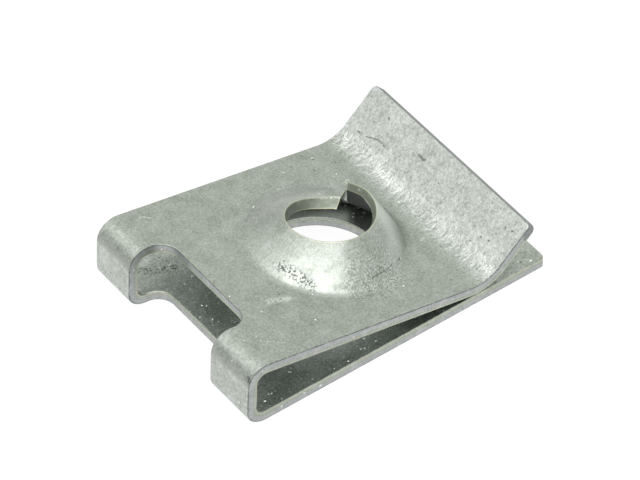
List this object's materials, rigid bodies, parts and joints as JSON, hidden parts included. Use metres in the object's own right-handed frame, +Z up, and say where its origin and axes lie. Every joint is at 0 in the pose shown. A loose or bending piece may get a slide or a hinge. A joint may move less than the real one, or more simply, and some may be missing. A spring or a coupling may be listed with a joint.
{
  "type": "u clip speed nut",
  "caption": "Spring steel clip folded into a U that slides over a panel edge, with a raised split rim that takes a screw as its thread.",
  "frame": {"origin": "centre of the clearance hole in the lower leg, on the underside", "axes": "+X from the fold to the open end, Y across the strip, +Z up from the lower leg to the boss"},
  "size_m": [0.0229, 0.016, 0.0052],
  "materials": {
    "zinc_plated_steel": "bright zinc plate, satin, with bare sheared edges"
  },
  "bodies": {
    "root": {"folded_sheet": "zinc_plated_steel"}
  },
  "joints": []
}
